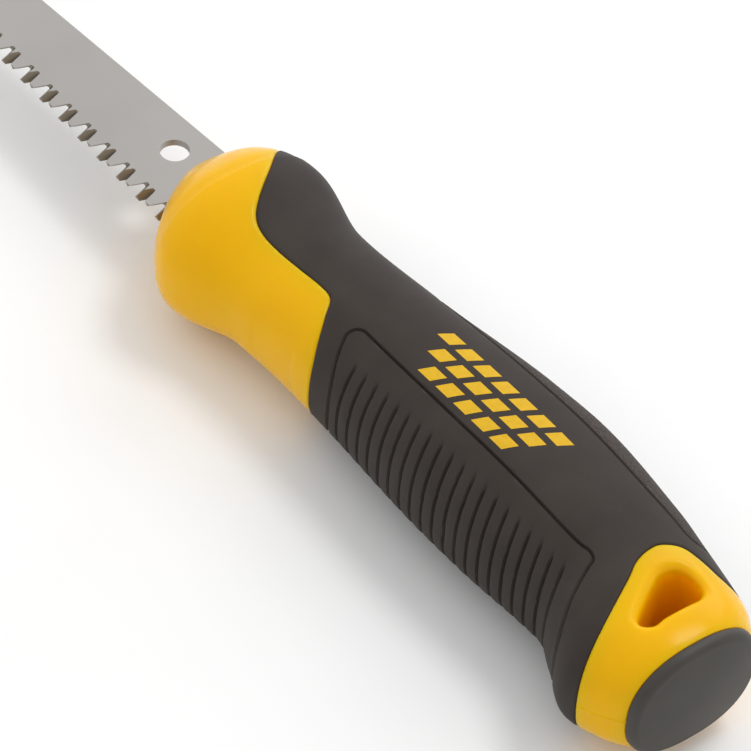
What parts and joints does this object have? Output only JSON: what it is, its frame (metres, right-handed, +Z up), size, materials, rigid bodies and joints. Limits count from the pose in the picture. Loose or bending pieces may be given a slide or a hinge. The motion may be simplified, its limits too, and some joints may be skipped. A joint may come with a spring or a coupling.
{
  "type": "drywall saw",
  "caption": "Fixed-blade drywall saw with a tapered toothed blade, a moulded core, a soft sleeve grip, a domed butt pad and a lanyard hole.",
  "frame": {"origin": "centre of the whole saw's bounding box, on the plane that the saw lies on", "axes": "+X towards the blade's tip, +Y towards the teeth, +Z up out of the upper side, across the blade's thickness"},
  "size_m": [0.3096, 0.0424, 0.03],
  "materials": {
    "blade_steel": "ground",
    "core_plastic": "moulded",
    "grip_rubber": "matt moulded",
    "pad_rubber": "matt moulded",
    "print_ink": "pad printed"
  },
  "bodies": {
    "root": {"blade": "blade_steel", "handle_core": "core_plastic", "grip": "grip_rubber", "butt_pad": "pad_rubber", "side_prints": "print_ink"}
  },
  "joints": []
}
